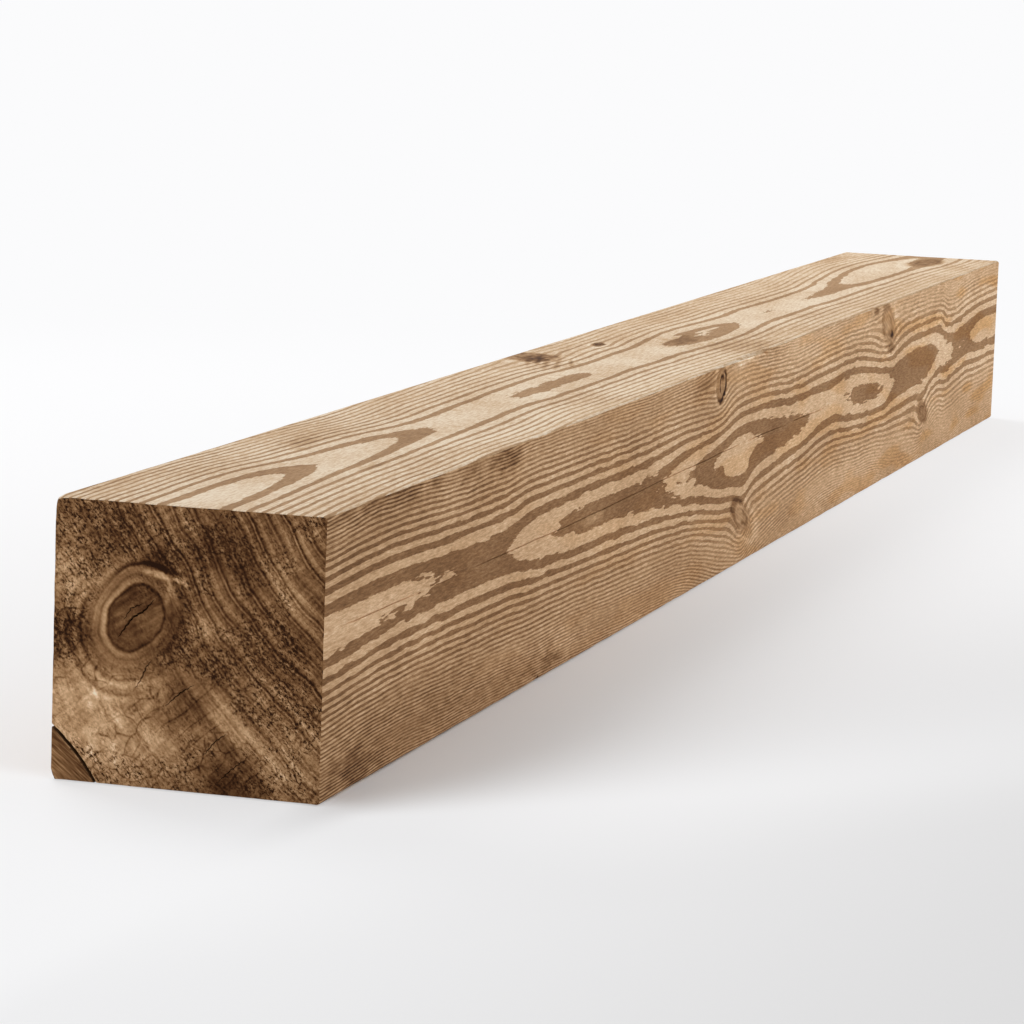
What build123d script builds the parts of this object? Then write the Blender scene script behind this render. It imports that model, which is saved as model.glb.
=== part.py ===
from build123d import *
import math
import os

# Driving sizes, in millimetres: an eight foot length of timber, planed to seven and a half inches square
timber_length = 2438.4
section_width = 190.5
section_height = 190.5
edge_radius = 3.0

# Ring shake: a gap that follows one growth ring across the lower corner of the near end
shake_rise = 37.0
shake_run = 32.5
shake_bulge = 2.2
shake_gap = 2.3
shake_gap_inside = 0.5
shake_depth = 260.0

# Chip knocked off the tip of the corner that the shake has loosened
chip_height = 9.0
chip_width = 4.0
chip_depth = 7.0

# Torn strip on the top edge of the seen side, lifted from a knot: it starts at nothing and stops abruptly
tear_start = 940.0
tear_end = 1230.0
tear_depth = 3.4

# Nick in the bottom edge of the seen side
nick_from_end = 500.0
nick_length = 16.0
nick_radius = 11.0
nick_depth = 3.0

# Overlap by which a cutting solid passes the face that it cuts
margin = 10.0

# The frame: X along the timber with the near end at +X, Y across it, Z up from the floor
near_end = timber_length / 2
seen_side = section_width / 2
hidden_side = -section_width / 2


def sawn_blank():
    """The squared timber, with its four long edges eased and its ends sawn square."""
    outline = RectangleRounded(section_width, section_height, edge_radius)
    start = Plane.YZ.offset(-near_end) * Pos(0, section_height / 2) * outline
    return extrude(start, timber_length)


def ring_band(gap, reach):
    """The shake's outline on the plane across the timber: a strip along an arc, past both faces.

    Local X runs from the hidden side towards the seen side, and local Y runs up from the bottom.
    """
    chord = math.hypot(shake_run, shake_rise)
    along = (shake_run / chord, -shake_rise / chord)
    outward = (-along[1], along[0])
    radius = (chord ** 2 / 4 + shake_bulge ** 2) / (2 * shake_bulge)
    middle = (shake_run / 2, shake_rise / 2)
    centre = (
        hidden_side + middle[0] - outward[0] * (radius - shake_bulge),
        middle[1] - outward[1] * (radius - shake_bulge),
    )
    half_angle = math.degrees(math.asin((chord / 2 + reach) / radius))
    facing = math.degrees(math.atan2(outward[1], outward[0]))
    outer = CenterArc(centre, radius + gap / 2, facing - half_angle, 2 * half_angle)
    inner = CenterArc(centre, radius - gap / 2, facing - half_angle, 2 * half_angle)
    sides = [Line(outer @ 0, inner @ 0), Line(outer @ 1, inner @ 1)]
    return make_face([outer, inner] + sides)


def ring_shake():
    """The open gap: widest at the near end, closing with depth inside the timber."""
    mouth = Plane.YZ.offset(near_end) * ring_band(shake_gap, margin)
    root = Plane.YZ.offset(near_end - shake_depth) * ring_band(shake_gap_inside, margin)
    closing = loft([root, mouth], ruled=True)
    return closing + extrude(mouth, margin)


def without_chip(timber):
    """The timber less the tip of its loosened corner, which broke off along one flat break."""
    on_length = Vector(near_end - chip_depth, hidden_side, 0)
    on_width = Vector(near_end, hidden_side + chip_width, 0)
    on_height = Vector(near_end, hidden_side, chip_height)
    outward = (on_width - on_length).cross(on_height - on_length)
    tip = Vector(near_end, hidden_side, 0)
    if outward.dot(tip - on_length) < 0:
        outward = outward * -1
    break_plane = Plane(origin=on_length, z_dir=outward)
    return split(timber, bisect_by=break_plane, keep=Keep.BOTTOM)


def torn_strip():
    """The wood lost from the top edge of the seen side: a long thin wedge that ends in a small step."""
    corner = Vector(0, seen_side - edge_radius, section_height - edge_radius)
    slope = Plane(origin=corner, x_dir=(1, 0, 0), z_dir=(0, -1, 1))
    wedge_start = near_end - tear_start
    wedge_end = near_end - tear_end
    outline = Polyline(
        (wedge_start, edge_radius),
        (wedge_start, edge_radius + margin),
        (wedge_end, edge_radius + margin),
        (wedge_end, edge_radius - tear_depth),
        close=True,
    )
    return extrude(slope * make_face(outline), margin, both=True)


def bottom_nick():
    """The small scoop out of the bottom edge of the seen side."""
    scoop = scale(Sphere(nick_radius), by=(nick_length / (2 * nick_radius), 1, 1))
    sink = (nick_radius - nick_depth) / math.sqrt(2)
    return Pos(near_end - nick_from_end, seen_side + sink, -sink) * scoop


def timber():
    """The whole timber: one sawn piece, with the damage that it carries."""
    piece = sawn_blank()
    piece = piece - ring_shake()
    piece = piece - torn_strip()
    piece = piece - bottom_nick()
    return without_chip(piece)


os.makedirs("parts", exist_ok=True)
export_step(timber(), "parts/timber.step")
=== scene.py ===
import math
from collections import namedtuple
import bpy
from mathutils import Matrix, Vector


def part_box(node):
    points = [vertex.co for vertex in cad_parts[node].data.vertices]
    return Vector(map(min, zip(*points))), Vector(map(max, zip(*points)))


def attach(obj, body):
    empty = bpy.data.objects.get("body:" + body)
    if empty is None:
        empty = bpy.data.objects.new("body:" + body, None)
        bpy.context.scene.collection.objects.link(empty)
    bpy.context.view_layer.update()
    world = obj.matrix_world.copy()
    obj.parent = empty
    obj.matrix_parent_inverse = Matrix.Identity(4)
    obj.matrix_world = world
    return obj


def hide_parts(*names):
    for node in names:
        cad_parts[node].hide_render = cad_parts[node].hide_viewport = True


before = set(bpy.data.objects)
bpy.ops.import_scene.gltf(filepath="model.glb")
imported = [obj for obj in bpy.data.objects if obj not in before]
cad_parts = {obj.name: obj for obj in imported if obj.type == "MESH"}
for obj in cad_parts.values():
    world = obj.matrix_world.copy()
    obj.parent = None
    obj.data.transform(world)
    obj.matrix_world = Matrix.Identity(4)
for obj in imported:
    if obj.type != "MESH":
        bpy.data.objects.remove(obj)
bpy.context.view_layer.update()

from types import SimpleNamespace

import bpy
import numpy as np
from mathutils import Matrix, Vector
from mathutils.geometry import delaunay_2d_cdt

# Sizes of the sawn piece, read from the solid, in metres
low_corner, high_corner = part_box("timber")
near_end = high_corner.x
far_end = low_corner.x
seen_side = high_corner.y
hidden_side = low_corner.y
length = near_end - far_end
section = high_corner.z
half = section / 2

# Damage that the solid has too, in metres from the near end or the corner
edge_radius = 0.0030
shake_rise = 0.0370
shake_run = 0.0325
shake_bulge = 0.0022
shake_gap = 0.0023
shake_gap_inside = 0.0005
shake_depth = 0.260
chip_height = 0.0090
chip_width = 0.0040
chip_depth = 0.0070
tear_start = 0.940
tear_end = 1.230
tear_depth = 0.0034
nick_from_end = 0.500
nick_length = 0.016
nick_radius = 0.011
nick_depth = 0.003

# Order of the material slots on the timber's mesh; the first four go round the section
TOP, SEEN, BOTTOM, HIDDEN, NEAR, FAR, SPLIT = range(7)


# A knot has a place, half sizes and a tilt. It pushes the rings apart within about the distance push,
# which sweep stretches along the timber on its near and its far side, and it dips them towards the
# bottom. Bark is the bearing of the dark part of its rim, dark says how dark that is, and body how
# light the knot's wood is.
Knot = namedtuple("Knot", "at size tilt push sweep bark dark body dip", defaults=[0.0])
Crack = namedtuple("Crack", "points width depth")

# Growth figure of each long face. Along it, u counts section widths from the near end, and across it v
# runs from 0 to 1. A ring number rises away from the heart line: whole numbers are the borders between
# light and dark bands, so the bands close into tongues and islands wherever the level along the heart
# line passes one. A dent, smudge, patch or torn spot has a place, half sizes, a tilt and a share.
seen_face = SimpleNamespace(
    level=[(0, 6.44), (0.8, 6.74), (1.41, 7.0), (1.8, 7.15), (2.17, 7.0), (2.4, 6.44), (2.83, 6.0),
           (3.1, 5.7), (4.2, 5.5), (4.53, 5.0), (5.0, 3.96), (5.3, 3.4), (5.7, 2.6), (6.0, 2.4), (6.3, 2.9),
           (6.8, 3.4), (7.47, 4.0), (7.95, 4.45), (8.36, 4.0), (8.8, 3.7), (9.3, 4.0), (9.6, 5.0),
           (10.2, 5.2), (10.55, 5.4), (10.88, 6.0), (11.15, 6.6), (11.41, 7.0), (11.6, 7.1), (11.9, 7.0),
           (12.2, 6.6), (12.8, 6.5)],
    heart=[(0, 0.418), (0.8, 0.393), (1.5, 0.405), (3.0, 0.416), (4.2, 0.433), (6.0, 0.435), (7.0, 0.438),
           (8.0, 0.408), (9.0, 0.42), (10.0, 0.418), (10.9, 0.40), (11.2, 0.437), (12.0, 0.40),
           (12.8, 0.40)],
    above=[(0, 0.0090), (5, 0.0090), (6, 0.0120), (7.2, 0.0100), (9, 0.0100), (10, 0.0130), (11, 0.0110),
           (12.8, 0.0110)],
    below=[(0, 0.0080), (4.8, 0.0085), (6, 0.0130), (7.2, 0.0090), (9, 0.0085), (10, 0.0130), (11, 0.0100),
           (12.8, 0.0100)],
    straight=0.42,
    thin=0.05,
    crowd=(2.8, 1.3),
    ragged=1.0,
    dents=[(5.60, 0.50, 0.15, 0.06, 0, 0.45), (5.86, 0.52, 0.12, 0.05, 0, -0.35),
           (6.22, 0.50, 0.18, 0.05, -12, 0.35), (1.30, 0.425, 0.22, 0.02, 0, 0.5),
           (4.75, 0.455, 0.30, 0.03, 8, -0.3)],
    fade=(0.16, 0.88),
    rest=(0.40, 0.22),
    # Band tones at the near and the far end: their rise towards the far end is painted light
    pale=(0.740, 0.835),
    late=(0.490, 0.600),
    gain=1.34,
    warmth=0.05,
    resin=1.0,
    knots=[Knot((5.55, 0.085), (0.085, 0.075), 0, 0.100, (3.0, 1.5), 35, 1.60, 0.63, dip=0.035),
           Knot((6.06, 0.775), (0.22, 0.062), 20, 0.080, (2.4, 1.6), 200, 0.60, 0.67, dip=0.090),
           Knot((9.40, 0.13), (0.19, 0.095), 25, 0.13, (2.6, 1.8), 215, 0.35, 0.67, dip=0.030),
           Knot((10.48, 0.72), (0.15, 0.060), 14, 0.065, (3.4, 2.2), 60, 0.38, 0.56, dip=0.100)],
    smudges=[(0.55, 0.0, 1.0, 0.10, 0, 0.12), (1.65, 0.01, 0.2, 0.07, 0, 0.14),
             (2.1, 0.02, 0.28, 0.10, 0, 0.20), (0.36, 0.93, 0.40, 0.16, 0, 0.13),
             (2.75, 0.96, 0.35, 0.08, 0, 0.16), (9.05, 0.02, 0.10, 0.04, 0, 0.25),
             (0.8, 0.95, 3.2, 0.42, 0, 0.08), (0.4, 0.1, 2.2, 0.35, 0, 0.04),
             (3.36, 0.44, 0.26, 0.03, 0, -0.12), (0.85, 0.76, 0.05, 0.02, 0, 0.10),
             (7.6, 0.06, 2.8, 0.20, 0, -0.05), (11.2, 0.12, 1.7, 0.20, 0, -0.05),
             (9.49, 0.185, 0.070, 0.030, 8, 0.55), (9.47, 0.262, 0.20, 0.038, 3, 0.20),
             (9.2, 0.86, 3.4, 0.26, 0, -0.035), (6.1, 0.0, 0.42, 0.04, 0, -0.14),
             (5.22, 0.06, 0.24, 0.06, -8, 0.10)],
    seed=3.0,
)
top_face = SimpleNamespace(
    level=[(0, 6.45), (0.5, 6.62), (0.88, 7.0), (1.31, 8.0), (1.7, 8.5), (2.1, 9.0), (2.65, 10.0),
           (2.9, 10.2), (3.4, 10.16), (3.7, 10.0), (3.85, 9.74), (4.75, 9.72), (4.97, 10.0), (5.2, 10.1),
           (5.6, 10.0), (5.9, 10.08), (6.15, 10.0), (6.6, 9.4), (7.0, 9.1), (7.4, 9.45), (7.79, 10.0),
           (8.0, 10.12), (8.2, 10.0), (8.45, 9.88), (8.75, 10.0), (8.9, 10.05), (9.1, 9.95), (9.7, 9.75),
           (10.2, 9.5), (10.45, 9.0), (10.9, 8.5), (11.5, 8.2), (11.9, 8.3), (12.3, 8.9), (12.8, 9.2)],
    heart=[(0, 0.505), (0.9, 0.48), (1.4, 0.50), (2.1, 0.51), (2.7, 0.54), (3.4, 0.51), (5.0, 0.50),
           (6.5, 0.53), (7.5, 0.53), (8.5, 0.53), (9.7, 0.55), (10.5, 0.53), (11.5, 0.50), (12.8, 0.55)],
    above=[(0, 0.0118), (3, 0.0122), (8, 0.015), (10.4, 0.014), (11.5, 0.015), (12.8, 0.016)],
    below=[(0, 0.0150), (3, 0.0130), (8, 0.015), (10.4, 0.014), (11.5, 0.015), (12.8, 0.016)],
    straight=0.26,
    thin=0.34,
    crowd=(1.3, 1.3),
    ragged=0.40,
    dents=[(6.75, 0.47, 0.35, 0.05, 0, 0.5), (7.25, 0.505, 0.30, 0.022, 3, -0.9)],
    fade=(0.18, 0.75),
    rest=(0.24, 0.14),
    # Band tones paler and closer together than on the sides: partly the wood's own tone, partly painted
    # sheen
    pale=(0.900, 0.895),
    late=(0.650, 0.690),
    gain=0.925,
    warmth=0.075,
    resin=0.0,
    knots=[Knot((5.40, 0.11), (0.17, 0.13), -18, 0.13, (2.8, 1.5), -20, 0.42, 0.62),
           Knot((6.16, 0.225), (0.09, 0.03), -12, 0.04, (2.6, 2.0), 0, 0.45, 0.52),
           Knot((12.28, 0.625), (0.30, 0.09), 0, 0.12, (2.8, 2.8), 60, 0.30, 0.60)],
    smudges=[(0.5, 0.02, 0.5, 0.12, 0, 0.06), (1.85, 0.25, 0.40, 0.09, 0, 0.12),
             (3.8, 0.74, 0.5, 0.16, 0, 0.06), (6.65, 0.52, 0.42, 0.10, 0, 0.14),
             (6.6, 0.8, 0.6, 0.25, 0, 0.09), (12.1, 0.07, 0.6, 0.14, 0, 0.08),
             (5.36, 0.14, 0.24, 0.090, -20, 0.22), (5.20, 0.155, 0.28, 0.018, -15, 0.16),
             (5.20, 0.20, 0.30, 0.020, -13, 0.20), (5.17, 0.25, 0.32, 0.022, -13, 0.22),
             (5.19, 0.30, 0.30, 0.018, -13, 0.17), (5.26, 0.345, 0.26, 0.018, -16, 0.16),
             (6.16, 0.225, 0.11, 0.040, -12, 0.17), (3.2, 0.86, 3.6, 0.26, 0, -0.04),
             (5.9, 1.0, 0.55, 0.035, 0, -0.07), (5.9, 0.15, 0.35, 0.08, 0, 0.05),
             (1.32, 0.70, 0.20, 0.05, 0, 0.10)],
    seed=8.0,
)
bottom_face = SimpleNamespace(
    level=[(0, 4.2), (2.5, 4.6), (5.0, 3.7), (7.5, 4.3), (10.0, 5.2), (12.8, 4.6)],
    heart=[(0, 0.22), (4.0, 0.16), (8.0, 0.20), (12.8, 0.27)],
    above=[(0, 0.014), (12.8, 0.014)],
    below=[(0, 0.016), (6, 0.013), (12.8, 0.016)],
    straight=0.30,
    thin=0.15,
    crowd=(1.2, 1.2),
    dents=[],
    ragged=0.8,
    fade=(0.35, 0.55),
    rest=(0.40, 0.30),
    pale=(0.780, 0.800),
    late=(0.520, 0.540),
    gain=1.20,
    warmth=0.05,
    resin=0.7,
    knots=[Knot((3.3, 0.60), (0.12, 0.10), 10, 0.11, (2.8, 2.0), 50, 0.6, 0.55),
           Knot((9.1, 0.78), (0.16, 0.06), -14, 0.07, (2.6, 2.6), 200, 0.45, 0.60)],
    smudges=[(1.3, 0.5, 1.0, 0.3, 0, 0.10), (7.0, 0.3, 1.4, 0.4, 0, 0.08), (11.6, 0.7, 1.2, 0.35, 0, 0.10)],
    seed=21.0,
)
hidden_face = SimpleNamespace(
    level=[(0, 8.4), (1.6, 8.9), (3.0, 8.1), (4.6, 7.3), (6.2, 7.9), (8.0, 9.1), (9.6, 8.5), (11.2, 7.6),
           (12.8, 8.2)],
    heart=[(0, 0.60), (3.0, 0.63), (6.0, 0.58), (9.0, 0.62), (12.8, 0.57)],
    above=[(0, 0.011), (6, 0.013), (12.8, 0.011)],
    below=[(0, 0.012), (6, 0.011), (12.8, 0.012)],
    straight=0.30,
    thin=0.1,
    crowd=(1.8, 1.5),
    dents=[],
    ragged=0.9,
    fade=(0.30, 0.60),
    rest=(0.40, 0.25),
    pale=(0.790, 0.830),
    late=(0.500, 0.570),
    gain=1.20,
    warmth=0.05,
    resin=0.7,
    knots=[Knot((4.9, 0.30), (0.10, 0.08), -10, 0.09, (3.0, 1.8), 150, 0.65, 0.54),
           Knot((7.3, 0.80), (0.17, 0.055), 18, 0.07, (2.6, 2.6), 20, 0.45, 0.62),
           Knot((11.0, 0.24), (0.12, 0.09), 20, 0.09, (2.8, 2.0), 300, 0.55, 0.57)],
    smudges=[(0.8, 0.05, 0.8, 0.12, 0, 0.14), (5.9, 0.95, 0.9, 0.12, 0, 0.12),
             (9.9, 0.5, 0.9, 0.3, 0, 0.06)],
    seed=34.0,
)
long_faces = [top_face, seen_face, bottom_face, hidden_face]

# Near end, in shares of the section: across from the hidden side, and down from the top
pith = (2.4, -0.95)
ring_pitch = 0.060
end_knot = SimpleNamespace(at=(0.308, 0.400), size=(0.096, 0.122), tilt=31)
end_cracks = [
    Crack([(0.242, 0.482), (0.272, 0.437), (0.296, 0.404), (0.338, 0.378), (0.378, 0.332)], 0.0016, 0.006),
    Crack([(0.262, 0.418), (0.29, 0.372), (0.34, 0.350)], 0.0008, 0.003),
    Crack([(0.310, 0.655), (0.334, 0.615), (0.352, 0.570), (0.372, 0.548)], 0.0011, 0.004),
    Crack([(0.422, 0.706), (0.480, 0.652), (0.533, 0.617)], 0.0009, 0.004),
    Crack([(0.567, 0.867), (0.610, 0.812), (0.656, 0.778)], 0.0010, 0.004),
    Crack([(0.617, 0.961), (0.672, 0.905), (0.728, 0.861)], 0.0008, 0.003),
]
near_cut = SimpleNamespace(
    seed=2.0,
    base=0.436,
    gain=1.42,
    warmth=0.07,
    knot=end_knot,
    corner=True,
    patches=[(0.20, 0.80, 0.42, 0.28, 12, 0.26), (0.67, 0.74, 0.28, 0.065, 45, 0.20),
             (0.90, 0.86, 0.22, 0.18, 0, 0.14), (0.50, 0.700, 0.14, 0.085, -35, -0.14),
             (0.69, 0.92, 0.15, 0.10, -40, -0.13), (0.05, 0.26, 0.09, 0.18, 0, 0.17),
             (0.17, 0.27, 0.13, 0.035, -36, 0.13), (0.22, 0.08, 0.16, 0.11, 0, -0.06),
             (0.87, 0.28, 0.16, 0.05, 52, 0.16), (0.57, 0.42, 0.07, 0.05, 30, 0.14),
             (0.40, 0.19, 0.07, 0.05, 0, -0.12), (0.08, 0.68, 0.12, 0.08, 0, 0.06),
             (0.64, 0.16, 0.14, 0.10, 30, -0.10), (0.46, 0.44, 0.07, 0.12, 10, -0.13),
             (0.84, 0.52, 0.20, 0.12, 40, -0.04), (0.06, 0.46, 0.12, 0.13, 0, -0.15),
             (0.375, 0.40, 0.045, 0.04, 0, 0.11), (0.385, 0.248, 0.090, 0.014, 9, 0.20),
             (0.472, 0.268, 0.034, 0.010, 22, 0.20), (0.42, 0.228, 0.10, 0.012, 12, -0.16),
             (0.425, 0.315, 0.014, 0.04, 0, 0.14), (0.52, 0.52, 0.14, 0.10, 30, -0.06)],
    torn=[(0.12, 0.10, 0.22, 0.16, 0, 0.9), (0.05, 0.45, 0.10, 0.14, 0, 0.7),
          (0.66, 0.13, 0.07, 0.13, -25, 0.8), (0.58, 0.54, 0.12, 0.05, 25, 1.1),
          (0.88, 0.62, 0.10, 0.22, -20, 0.9), (0.80, 0.42, 0.10, 0.08, 40, 0.7),
          (0.86, 0.86, 0.14, 0.10, 0, 0.6)],
)
far_cut = SimpleNamespace(
    seed=47.0,
    base=0.47,
    gain=1.35,
    warmth=0.07,
    knot=None,
    corner=False,
    patches=[(0.3, 0.3, 0.35, 0.2, 30, 0.10), (0.75, 0.7, 0.25, 0.12, -40, -0.08),
             (0.2, 0.85, 0.3, 0.1, 10, 0.08)],
    torn=[(0.8, 0.2, 0.2, 0.15, 0, 0.8), (0.35, 0.62, 0.2, 0.1, 30, 0.7)],
)
far_cracks = [
    Crack([(0.30, 0.86), (0.36, 0.77), (0.45, 0.70), (0.52, 0.60)], 0.0012, 0.005),
    Crack([(0.60, 0.52), (0.68, 0.44), (0.74, 0.34)], 0.0009, 0.004),
]

# Drying check on the seen side: its line wanders beside the heart line and it opens here and there
check_line = [(0, 0.400), (1.5, 0.412), (3.0, 0.420), (4.5, 0.412), (6.0, 0.414), (8.2, 0.428)]
check_reach = 8.1
check_width = 0.0009
check_depth = 0.0030
check_at = (check_line[0][1] - 0.5) * section

noise_cells = 256
seeded = np.random.default_rng(11).random((noise_cells, noise_cells))


def smooth_step(start, stop, value):
    """0 before start, 1 past stop, and a smooth rise between them."""
    share = np.clip((value - start) / (stop - start), 0, 1)
    return share * share * (3 - 2 * share)


def value_noise(x, y, octaves=2):
    """Smooth seeded noise between -0.5 and 0.5."""
    total = 0.0
    for octave in range(octaves):
        size = 2 ** octave
        place_x = x * size + 17.3 * octave
        place_y = y * size + 5.1 * octave
        left = np.floor(place_x).astype(int)
        low = np.floor(place_y).astype(int)
        share_x = smooth_step(0, 1, place_x - left)
        share_y = smooth_step(0, 1, place_y - low)
        rows = []
        for row in (low % noise_cells, (low + 1) % noise_cells):
            start, stop = seeded[left % noise_cells, row], seeded[(left + 1) % noise_cells, row]
            rows.append(start * (1 - share_x) + stop * share_x)
        total = total + (rows[0] * (1 - share_y) + rows[1] * share_y) / size
    return total / (2 - 2 / 2 ** octaves) - 0.5


def ellipse_distance(x, y, at, size, tilt):
    """How far a point is from an ellipse's centre, where 1 is its outline."""
    turn = math.radians(tilt)
    along = (x - at[0]) * math.cos(turn) + (y - at[1]) * math.sin(turn)
    across = (y - at[1]) * math.cos(turn) - (x - at[0]) * math.sin(turn)
    return np.sqrt((along / size[0]) ** 2 + (across / size[1]) ** 2)


# Mesh: stations along the timber and columns round its section
def stations():
    """Distances from the near end, closer together at the ends, knots, torn strip's step and nick."""
    coarse = 0.0084
    blend = 0.03

    # Each fine place has its distance, its reach to either side and the step between its stations
    places = [(knot.at[0] * section, 0.030, 0.0042) for face in long_faces for knot in face.knots]
    places += [(tear_end, 0.006, 0.0006), (nick_from_end, 0.010, 0.0020)]
    arris = [0.0, 0.0006, 0.0014, 0.0026, 0.0044]
    distance = arris[-1]
    rows = list(arris)
    while distance < length - 2 * arris[-1]:
        from_end = min(distance, length - distance)
        step = min(coarse, 0.0022 + from_end * 0.12)
        for centre, reach, fine in places:
            nearness = max(0.0, 1 - max(0.0, abs(distance - centre) - reach) / blend)
            step = min(step, fine + (1 - nearness) * coarse)
        distance += step
        rows.append(distance)
    rows = [row for row in rows if row < length - 1.4 * arris[-1]]
    return np.array(rows + [length - row for row in reversed(arris)])


def flat_columns(extra=()):
    """Places across one face's flat part, from its middle: finer beside the two edges."""
    reach = half - edge_radius
    fine = np.cumsum([0.0, 0.0012, 0.0014, 0.0017, 0.0022, 0.0030, 0.0040])
    inner = reach - fine[-1]
    middle = np.linspace(-inner, inner, 28)
    places = np.concatenate([-reach + fine[:-1], middle, (reach - fine[:-1])[::-1]])
    if len(extra):
        gap = 0.0035
        keep = [p for p in places if min(abs(p - e) for e in extra) > gap]
        places = np.sort(np.concatenate([keep, extra]))
    return places


def section_columns():
    """Columns round the section: place, direction outwards, face, place across it, and if in the check."""
    turns = [(0, 1), (1, 0), (0, -1), (-1, 0)]
    lips = [check_at - check_width / 2, check_at, check_at + check_width / 2]
    rows = []
    for face in (TOP, SEEN, BOTTOM, HIDDEN):
        outwards = np.array(turns[face])
        onwards = np.array(turns[(face + 1) % 4])
        for across in flat_columns(lips if face == SEEN else ()):
            rows.append((outwards * half + onwards * across, outwards, face, across, across in lips))

        # The eased edge after the face has three columns, and each belongs to the face it lies nearer to
        corner = (outwards + onwards) * (half - edge_radius)
        for turn in (22.5, 45.0, 67.5):
            angle = math.radians(turn)
            direction = outwards * math.cos(angle) + onwards * math.sin(angle)
            owner = face if turn < 45 else (face + 1) % 4
            rows.append((corner + direction * edge_radius, direction, owner, None, False))
    return rows


def long_relief(u, v, face):
    """How far a long face's surface lies inside the square section, in metres."""
    depth = 0.00028 + 0.00020 * value_noise(u * 2.1 + face.seed, v * 3.7)
    depth = depth + 0.00016 * value_noise(u * 9 + face.seed, v * 40)

    # A knot stands proud of the planed face, with a groove at its rim and a hollow in its middle
    for knot in face.knots:
        away = ellipse_distance(u, v, knot.at, knot.size, knot.tilt)
        away = away + 0.22 * value_noise(u * 12 + 7, v * 12)
        depth = depth - 0.00022 * smooth_step(1.15, 0.8, away)
        depth = depth + 0.0009 * knot.dark * np.exp(-((away - 1.02) / 0.16) ** 2)
        depth = depth + 0.0007 * knot.dark * np.exp(-(away / 0.35) ** 2)
    return np.maximum(0.00001, depth)


def tear_line(from_end, height):
    """Distance from the edge's centre line, at 45 degrees, at which the torn strip leaves the edge."""
    progress = np.clip((from_end - tear_start) / (tear_end - tear_start), 0, 1)
    inside = (from_end > tear_start) & (from_end <= tear_end)
    fibre = 0.0009 * value_noise(from_end * 28, height * 620) * smooth_step(0.02, 0.25, progress)
    return np.where(inside, edge_radius - tear_depth * progress + fibre, 1.0)


def sawn_loops():
    """Every station's loop of points, as an array of stations by columns by three."""
    columns = section_columns()
    from_end = stations()[:, None]
    place, direction = (np.array([column[k] for column in columns], float) for k in (0, 1))
    owner, in_check = (np.array([column[k] for column in columns]) for k in (2, 4))
    on_flat = np.array([column[3] is not None for column in columns])
    across = np.array([column[3] or 0.0 for column in columns])
    count = len(columns)
    u = np.broadcast_to(from_end / section, (len(from_end), count))
    y = np.broadcast_to(place[:, 0], u.shape).copy()
    z = np.broadcast_to(place[:, 1] + half, u.shape).copy()

    # The check's columns follow its line, and the columns beside them follow it less and less
    drift = (np.interp(u, *zip(*check_line)) - check_line[0][1]) * section
    drift = drift + 0.0016 * value_noise(u * 2.5, u * 0 + 9)
    near_check = np.exp(-((across - check_at) / 0.012) ** 2) * (owner == SEEN) * on_flat
    z = z - drift * near_check

    depth = np.zeros(u.shape)
    for index, face in enumerate(long_faces):
        v = face_across(index, y, z)
        depth = np.where((owner == index) & on_flat, long_relief(u, v, face), depth)
    wear = 0.00025 + 0.0009 * value_noise(u * 7, owner * 3.1 + 0 * u, 3)
    chips = 0.0050 * np.maximum(0, value_noise(u * 11 + 40, owner * 5.3 + 0 * u) - 0.33)
    depth = np.where(on_flat, depth, np.maximum(0.0001, wear) + chips)
    edge = np.where(on_flat, half - edge_radius - np.abs(across), 0.0)
    depth = np.where(on_flat, depth * smooth_step(-0.002, 0.006, edge), depth)

    # The check opens and closes along its line, and has run out before its reach
    opening = smooth_step(-0.30, 0.06, value_noise(u * 1.7 + 5, u * 0 + 3))
    opening = opening * smooth_step(check_reach, check_reach - 1, u)
    middle = in_check & (np.abs(across - check_at) < check_width / 4)
    depth = np.where(middle, depth + check_depth * opening, depth)

    # Both ends have a slightly broken arris, and the top corner at the hidden side is scuffed
    for gone in (from_end, length - from_end):
        chipped = value_noise(np.arange(count)[None, :] * 0.55, gone * 0 + 2)
        ragged = 0.00045 + 0.0008 * np.maximum(0, chipped)
        depth = depth + ragged * np.clip(1 - gone / 0.0016, 0, 1)
    corner_away = np.hypot(y - hidden_side, z - section)
    scuff = np.exp(-(corner_away / 0.006) ** 2) * np.exp(-(from_end / 0.007) ** 2)
    depth = depth + 0.0016 * scuff * (1 + value_noise(u * 40, y * 900))

    y = y - direction[:, 0] * depth
    z = z - direction[:, 1] * depth

    # The torn strip planes the top edge of the seen side away
    lean = ((y - (seen_side - edge_radius)) + (z - (section - edge_radius))) / math.sqrt(2)
    spare = np.maximum(0, lean - tear_line(from_end, y - z)) * (np.minimum(y, z - half) > 0.03)
    y = y - spare / math.sqrt(2)
    z = z - spare / math.sqrt(2)
    x = np.broadcast_to(near_end - from_end, y.shape)
    return np.stack([x, y, z], axis=-1), owner


def face_across(face, y, z):
    """The share across a long face, from the edge that the figure counts from."""
    if face in (TOP, BOTTOM):
        return (y - hidden_side) / section
    return (section - z) / section


def crack_rows(crack, spacing=0.0016):
    """Points of a crack from tip to tip: its bottom and its two lips, and how open each place is."""
    corners = [Vector((p[0] * section + hidden_side, section - p[1] * section)) for p in crack.points]
    path = []
    for start, stop in zip(corners, corners[1:]):
        steps = max(2, round((stop - start).length / spacing))
        path += [start.lerp(stop, k / steps) for k in range(steps)]
    path.append(corners[-1])
    middle = [path[0]]
    left = []
    right = []
    open_share = [0.0]
    for index in range(1, len(path) - 1):
        heading = (path[index + 1] - path[index - 1]).normalized()
        aside = Vector((-heading.y, heading.x))
        share = math.sin(math.pi * index / (len(path) - 1)) ** 0.6
        wobble = aside * 0.0004 * math.sin(index * 2.3)
        middle.append(path[index] + wobble)
        left.append(path[index] + wobble + aside * crack.width / 2 * share)
        right.append(path[index] + wobble - aside * crack.width / 2 * share)
        open_share.append(share)
    middle.append(path[-1])
    open_share.append(0.0)
    return middle, left, right, open_share


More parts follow.
